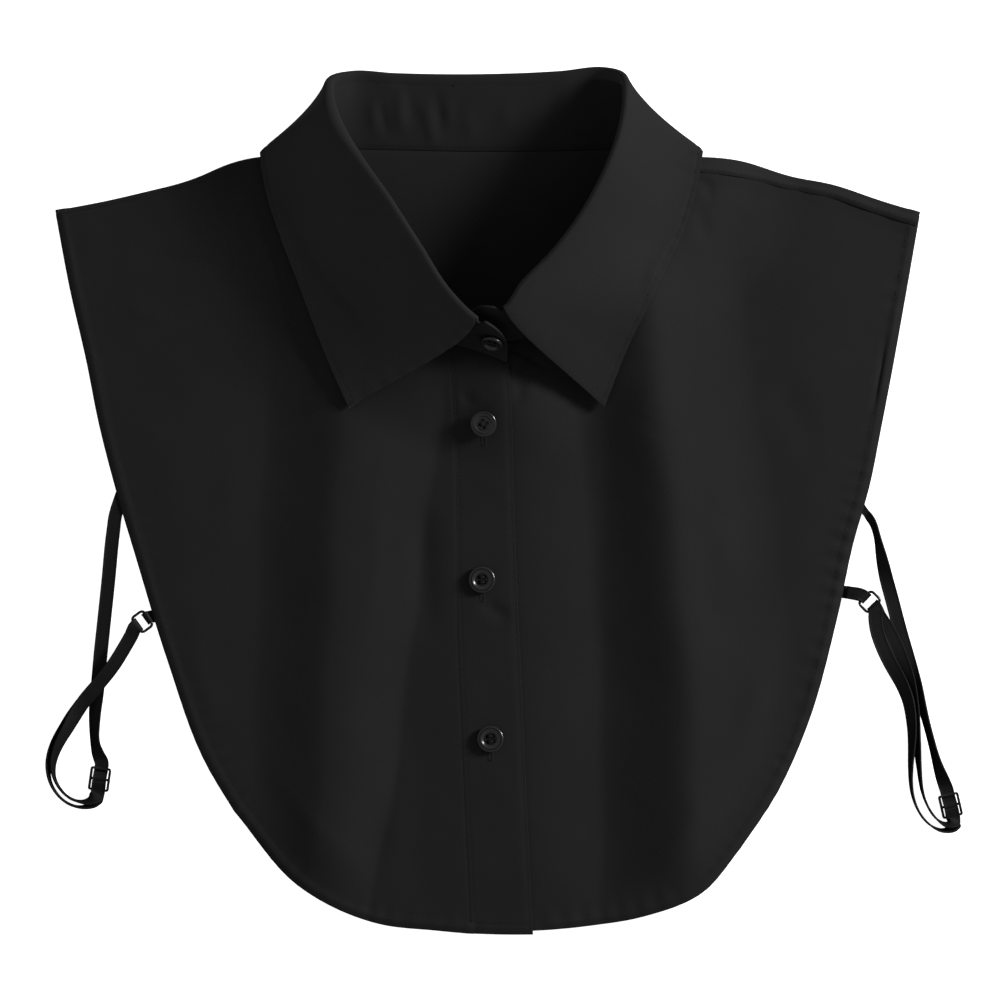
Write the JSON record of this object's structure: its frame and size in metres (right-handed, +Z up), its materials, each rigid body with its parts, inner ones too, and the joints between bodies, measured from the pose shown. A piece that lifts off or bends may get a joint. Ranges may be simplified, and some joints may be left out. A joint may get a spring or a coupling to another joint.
{
  "type": "detachable shirt collar",
  "caption": "Half shirt with a pointed turn-down collar, a buttoned placket, two fronts, a back and elastic side straps, laid flat, worn under a jumper to show a shirt collar.",
  "frame": {"origin": "on the table, under the middle of the garment without its elastic straps", "axes": "+X to the viewer's right as the garment lies front up, +Y towards the neck, +Z up from the table"},
  "size_m": [0.392, 0.3705, 0.0385],
  "materials": {
    "poplin": "matte, fine plain weave",
    "elastic": "satin, ribbed along its length",
    "buttons": "polished",
    "hardware": "black lacquer"
  },
  "bodies": {
    "root": {"back_panel": "poplin", "front_over": "poplin", "front_under": "poplin", "placket": "poplin", "collar_stand": "poplin", "collar_leaf": "poplin", "button_1": "buttons", "button_2": "buttons", "button_3": "buttons", "collar_button": "buttons", "elastic_left": "elastic", "elastic_right": "elastic", "tab_left": "elastic", "tab_right": "elastic", "ring_left": "hardware", "ring_right": "hardware", "slider_left": "hardware", "slider_right": "hardware"}
  },
  "joints": []
}
